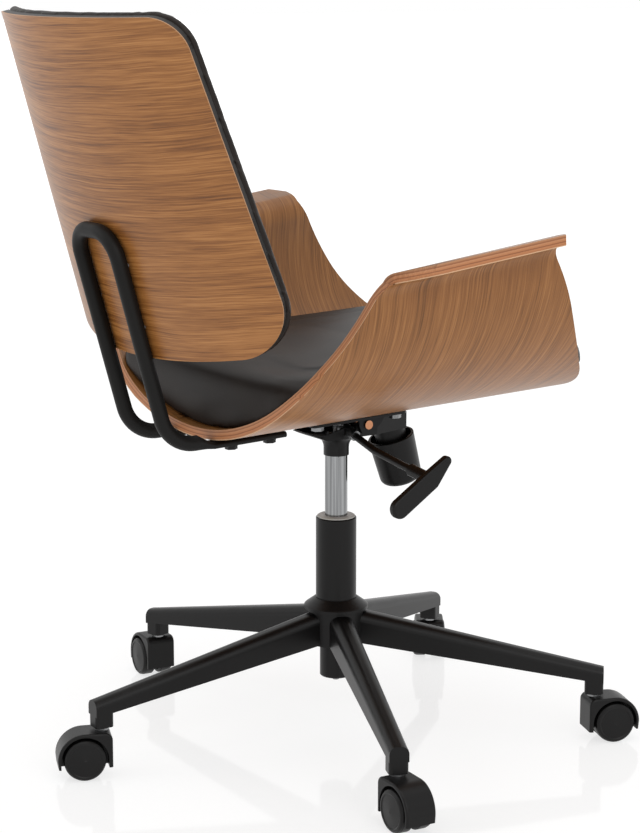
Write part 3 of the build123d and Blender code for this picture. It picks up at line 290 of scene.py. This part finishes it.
FINISH_OF_SLOT = {
    "base_paint": satin_enamel,
    "mech_paint": satin_enamel,
    "tube_paint": powder_coat,
    "black_steel": satin_enamel,
    "chrome": chrome,
    "bright_steel": zinc,
    "copper_pin": copper,
    "black_plastic": moulded_nylon,
    "wheel_plastic": moulded_nylon,
    "pale_plastic": acetal,
    "black_rubber": rubber,
    "grey_rubber": rubber,
    "plain_ply": plain_ply,
    "walnut_ply": back_veneer,
    "black_leather": leather,
}
for part in frame["record"]["subparts"]:
    for socket in nodes[part["node"]].material_slots:
        socket.material = FINISH_OF_SLOT[part["material_slot"]]


# Bent plywood

def broad_sides(bm, thickness, home, outward_at):
    """Search trees over a bent sheet's two broad sides and over the outer one alone.
    A face with its like one thickness behind it belongs to a broad side.
    home brings a spot into the sheet's frame, where outward_at gives the outward direction."""
    bm.verts.index_update()
    corners = [vertex.co.copy() for vertex in bm.verts]
    sheet = BVHTree.FromBMesh(bm)
    both = []
    outer = []
    for face in bm.faces:
        centre = face.calc_center_median()
        start = centre - face.normal * SKIN
        spot, normal, _, reach = sheet.ray_cast(start, -face.normal, thickness * FARTHEST_FAR_SIDE)
        if spot is None or normal.dot(face.normal) >= -LEVEL:
            continue
        if reach > thickness * NEAREST_FAR_SIDE:
            both.append([vertex.index for vertex in face.verts])
            if (home.to_3x3() @ face.normal).dot(outward_at(home @ centre)) > 0:
                outer.append(both[-1])
    return BVHTree.FromPolygons(corners, both), BVHTree.FromPolygons(corners, outer)


def plywood(name, node, place, thickness, outward_at, exact, veneer, edging):
    """Copy of a bent ply node with its broad sides veneered and its cut edges layered.
    Faces that lie level with the nearest broad side are veneered too, and the rest are edges.
    Where outward_at is exact, it gives the broad sides their normals."""
    mesh = nodes[node].data.copy()
    mesh.materials.clear()
    mesh.materials.append(veneer)
    mesh.materials.append(edging)
    home = place.inverted()
    bm = bmesh.new()
    bm.from_mesh(mesh)
    bmesh.ops.remove_doubles(bm, verts=bm.verts, dist=WELD)
    bm.normal_update()
    sides, outside = broad_sides(bm, thickness, home, outward_at)
    for face in bm.faces:
        face.smooth = True
        side_normal = sides.find_nearest(face.calc_center_median())[1]
        if abs(side_normal.dot(face.normal)) < LEVEL:
            face.material_index = 1
    depth = bm.verts.layers.float.new("ply_depth")
    for vertex in bm.verts:
        vertex[depth] = min(1.0, outside.find_nearest(vertex.co)[3] / thickness)
    bm.to_mesh(mesh)
    bm.free()
    mesh.set_sharp_from_angle(angle=CREASE)
    normals = [tuple(corner.vector) for corner in mesh.corner_normals]
    for face in mesh.polygons if exact else ():
        for corner in face.loop_indices if face.material_index == 0 else ():
            spot = mesh.vertices[mesh.loops[corner].vertex_index].co
            outward = place.to_3x3() @ outward_at(home @ spot)
            normals[corner] = tuple(outward if outward.dot(face.normal) > 0 else -outward)
    mesh.normals_split_custom_set(normals)
    piece = bpy.data.objects.new(name, mesh)
    scene.collection.objects.link(piece)
    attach(piece, "seat")
    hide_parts(node)


def shell_outward(spot):
    """Rough outward direction of the seat shell: down for the flanges, away from the tub's middle
    for the rest."""
    if spot.z > FLANGE_LEVEL:
        return Vector((copysign(FLANGE_SPREAD, spot.x), 0, -1))
    return Vector((spot.x, 0, spot.z - TUB_CENTRE))


def panel_outward(spot):
    """Outward direction of the back panel's curve."""
    return Vector((spot.x, spot.y + PANEL_R, 0)).normalized()


plywood("shell_plywood", "seat_shell", seat_place, SHELL_PLY, shell_outward, False,
        shell_veneer, shell_edge)
plywood("back_plywood", "back_panel", panel_place, BACK_PLY, panel_outward, True,
        back_veneer, wrapped_edge)


# Tension spring

def coil_spring():
    """Copy of the tension spring in two lengths, cut across a hair apart: the upper one goes with
    the lift, and the lower end with the spindle."""
    upward = Vector((0, sin(radians(KNOB_LEAN)), cos(radians(KNOB_LEAN))))
    whole = nodes["tension_spring"].data
    levels = [vertex.co.dot(upward) for vertex in whole.vertices]
    top = max(levels)
    split = min(levels) + SPRING_END
    foot = split + SPRING_GAP
    for name, body, joint, cut, side, head, length, travel in (
            ("coil_spring", "lift", "spindle_rise", foot, -1, top, top - foot, SPINDLE_TRAVEL),
            ("coil_spring_end", "spindle", "washer_climb", split, 1, split, SPRING_END,
             WASHER_TRAVEL)):
        mesh = whole.copy()
        bm = bmesh.new()
        bm.from_mesh(mesh)
        bmesh.ops.remove_doubles(bm, verts=bm.verts, dist=WELD)
        bmesh.ops.bisect_plane(bm, geom=bm.verts[:] + bm.edges[:] + bm.faces[:],
                               plane_co=upward * cut, plane_no=upward * side, clear_outer=True)
        bmesh.ops.holes_fill(bm, edges=[edge for edge in bm.edges if edge.is_boundary])
        bm.to_mesh(mesh)
        bm.free()
        mesh.shade_smooth()
        mesh.set_sharp_from_angle(angle=CREASE)
        spring = bpy.data.objects.new(name, mesh)
        scene.collection.objects.link(spring)
        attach(spring, body)
        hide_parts("tension_spring")
        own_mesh(spring)


coil_spring()


# Upholstery

def settle(piece):
    """Makes the piece's modifiers part of its mesh."""
    graph = bpy.context.evaluated_depsgraph_get()
    solved = piece.evaluated_get(graph)
    mesh = bpy.data.meshes.new_from_object(solved, preserve_all_data_layers=True, depsgraph=graph)
    piece.modifiers.clear()
    piece.data = mesh


def surface_of(node):
    """Search tree over a CAD node's surface."""
    mesh = nodes[node].data
    corners = [vertex.co for vertex in mesh.vertices]
    return BVHTree.FromPolygons(corners, [face.vertices for face in mesh.polygons])


def blow_up(piece, start, cap):
    """Blows up the cover by cloth under pressure, each point within cap of where it starts."""
    cloth = piece.modifiers.new("Cloth", "CLOTH")
    cloth.settings.use_pressure = True
    cloth.settings.uniform_pressure_force = PAD_PRESSURE
    cloth.settings.effector_weights.gravity = 0
    cloth.settings.vertex_group_mass = "held"
    for step in range(1, PAD_FRAMES + 1):
        scene.frame_set(step)
    settle(piece)
    scene.frame_set(1)
    for vertex, spot in zip(piece.data.vertices, start):
        move = vertex.co - spot
        if move.length > cap:
            vertex.co = spot + move * (cap / move.length)


def upholstery(name, node, carrier, grip, cap):
    """Foam pad in its cover: remeshed, held where it lies within grip of its carrier,
    blown up elsewhere, and never by more than cap."""
    piece = bpy.data.objects.new(name, nodes[node].data.copy())
    scene.collection.objects.link(piece)
    remesh = piece.modifiers.new("Remesh", "REMESH")
    remesh.mode = "VOXEL"
    remesh.voxel_size = PAD_VOXEL
    settle(piece)
    mesh = piece.data
    form = surface_of(node)
    board = surface_of(carrier)
    held = piece.vertex_groups.new(name="held")
    start = []
    for vertex in mesh.vertices:
        gap = board.find_nearest(vertex.co)[3]
        hold = min(1.0, max(0.0, 2 - 2 * gap / grip))
        held.add([vertex.index], hold, "REPLACE")
        spot = form.find_nearest(vertex.co)[0]
        start.append(spot - vertex.normal * PAD_SHRINK * (1 - hold))
    for vertex, spot in zip(mesh.vertices, start):
        vertex.co = spot
    blow_up(piece, start, cap)
    mesh = piece.data
    mesh.shade_smooth()
    mesh.materials.clear()
    mesh.materials.append(leather)
    soft = piece.modifiers.new("Smooth", "SMOOTH")
    soft.factor = 0.5
    soft.iterations = PAD_SMOOTHING
    soft.vertex_group = "held"
    soft.invert_vertex_group = True
    round_off = piece.modifiers.new("Round", "SUBSURF")
    round_off.levels = 1
    round_off.render_levels = 1
    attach(piece, "seat")
    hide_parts(node)


upholstery("seat_upholstery", "seat_cushion", "seat_shell", 70 * MM, 4 * MM)
upholstery("back_upholstery", "back_cushion", "back_panel", 16 * MM, 5 * MM)


# Studio

def area_lamp(name, spot, target, size, power):
    """Square soft lamp that faces the target."""
    light = bpy.data.lights.new(name, "AREA")
    light.size = size
    light.energy = power
    lamp = bpy.data.objects.new(name, light)
    lamp.location = spot
    lamp.rotation_euler = (Vector(target) - Vector(spot)).to_track_quat("-Z", "Y").to_euler()
    scene.collection.objects.link(lamp)


def bright_rays(tree):
    """1 for the rays that see the studio itself: camera, mirror and glass."""
    path = add(tree, "ShaderNodeLightPath").outputs
    direct = {0: path["Is Camera Ray"], 1: path["Is Glossy Ray"]}
    seen = add(tree, "ShaderNodeMath", direct, operation="ADD").outputs[0]
    through = {0: seen, 1: path["Is Transmission Ray"]}
    return add(tree, "ShaderNodeMath", through, operation="ADD", use_clamp=True).outputs[0]


def studio():
    """Pale floor, white surroundings and soft lamps."""
    world = bpy.data.worlds.new("white_studio")
    scene.world = world
    world.use_nodes = True
    tree = world.node_tree
    sky = tree.nodes["Background"]
    sky.inputs["Color"].default_value = linear("#ffffff")
    levels = {"Value": bright_rays(tree), "To Min": SKY_LIGHT, "To Max": SKY_SEEN}
    level = add(tree, "ShaderNodeMapRange", levels)
    tree.links.new(level.outputs[0], sky.inputs["Strength"])

    # Glossy white board: it glows a little, and mirrors the chair faintly
    material, _, shader = new_finish("white_floor", Roughness=0.06, IOR=1.16,
                                     Emission_Strength=FLOOR_GLOW)
    shader.inputs["Base Color"].default_value = linear("#a4a4a4")
    shader.inputs["Emission Color"].default_value = linear("#ffffff")
    mesh = bpy.data.meshes.new("floor")
    bm = bmesh.new()
    bmesh.ops.create_grid(bm, x_segments=1, y_segments=1, size=FLOOR_HALF)
    bmesh.ops.translate(bm, verts=bm.verts, vec=(0, 0, -FLOOR_DROP))
    bm.to_mesh(mesh)
    bm.free()
    mesh.materials.append(material)
    floor = bpy.data.objects.new("floor", mesh)
    scene.collection.objects.link(floor)

    # Place, target and size in metres, power in watts
    area_lamp("left_window", (1.3, 2.6, 2.0), (0, 0.1, 0.5), 1.8, 13)
    area_lamp("overhead", (-0.3, 0.2, 3.0), (0, 0, 0.3), 2.4, 22)
    area_lamp("right_fill", (-3.0, 0.5, 1.8), (0, 0, 0.4), 2.0, 22)


def photograph_camera():
    """Camera where the photograph was taken from."""
    lens = bpy.data.cameras.new("camera")
    lens.sensor_fit = "VERTICAL"
    lens.sensor_height = SENSOR
    lens.lens = FOCAL_PIXELS / PICTURE_HEIGHT * SENSOR
    camera = bpy.data.objects.new("camera", lens)
    camera.location = CAMERA_SPOT
    camera.rotation_euler = (radians(90 - CAMERA_DIP), 0, radians(CAMERA_HEADING - 90))
    scene.collection.objects.link(camera)
    scene.camera = camera


studio()
photograph_camera()
scene.view_settings.view_transform = "Standard"
